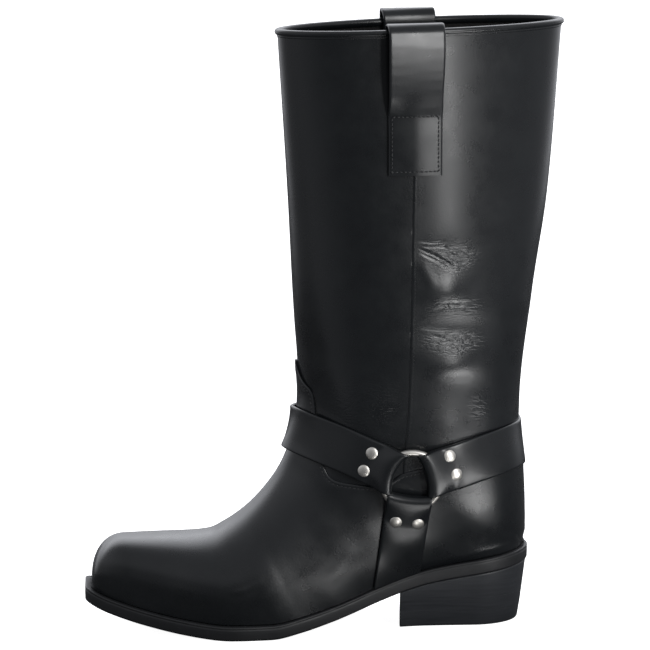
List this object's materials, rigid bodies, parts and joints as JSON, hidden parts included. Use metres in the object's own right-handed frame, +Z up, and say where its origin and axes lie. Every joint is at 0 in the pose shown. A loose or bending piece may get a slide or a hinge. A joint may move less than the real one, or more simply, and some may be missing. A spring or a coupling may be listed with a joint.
{
  "type": "biker boot",
  "caption": "Tall black leather pull-on biker boot for the right foot, with a ring harness at the ankle, pull straps at the collar, a squared toe and a stacked heel.",
  "frame": {"origin": "centre of the heel's ground face, on the floor plane", "axes": "+Z up the shaft, -X towards the toe, -Y towards the medial side of this right boot, which is the side seen in the picture"},
  "size_m": [0.2931, 0.1053, 0.374],
  "materials": {
    "black_leather": "satin black oiled leather",
    "strap_leather": "satin black strap leather",
    "black_rubber": "matt black",
    "stacked_heel": "stacked layers, stained black and waxed",
    "insole_board": "matt dark insole board",
    "nickel": "polished nickel plate"
  },
  "bodies": {
    "boot": {"outsole": "black_rubber", "heel": "stacked_heel", "top_lift": "black_rubber", "insole": "insole_board", "upper": "black_leather", "collar_binding": "black_leather", "pull_strap_medial": "strap_leather", "pull_strap_lateral": "strap_leather", "ankle_strap_front": "strap_leather", "ankle_strap_back": "strap_leather", "down_strap_medial": "strap_leather", "down_strap_lateral": "strap_leather", "rivet_front_medial_a": "nickel", "rivet_front_medial_b": "nickel", "rivet_front_lateral_a": "nickel", "rivet_front_lateral_b": "nickel", "rivet_back_medial_a": "nickel", "rivet_back_medial_b": "nickel", "rivet_back_lateral_a": "nickel", "rivet_back_lateral_b": "nickel", "rivet_down_medial_a": "nickel", "rivet_down_medial_b": "nickel", "rivet_down_lateral_a": "nickel", "rivet_down_lateral_b": "nickel"},
    "medial_ring": {"ring_medial": "nickel"},
    "lateral_ring": {"ring_lateral": "nickel"}
  },
  "joints": [
    {"name": "medial_ring_turn", "type": "hinge", "parent": "boot", "child": "medial_ring", "pos_m": [-0.03141, -0.04609, 0.09538], "axis": [0.017, -0.9996, -0.0239], "continuous": true},
    {"name": "lateral_ring_turn", "type": "hinge", "parent": "boot", "child": "lateral_ring", "pos_m": [-0.03198, 0.03943, 0.09529], "axis": [-0.0905, 0.9951, -0.0401], "continuous": true}
  ]
}
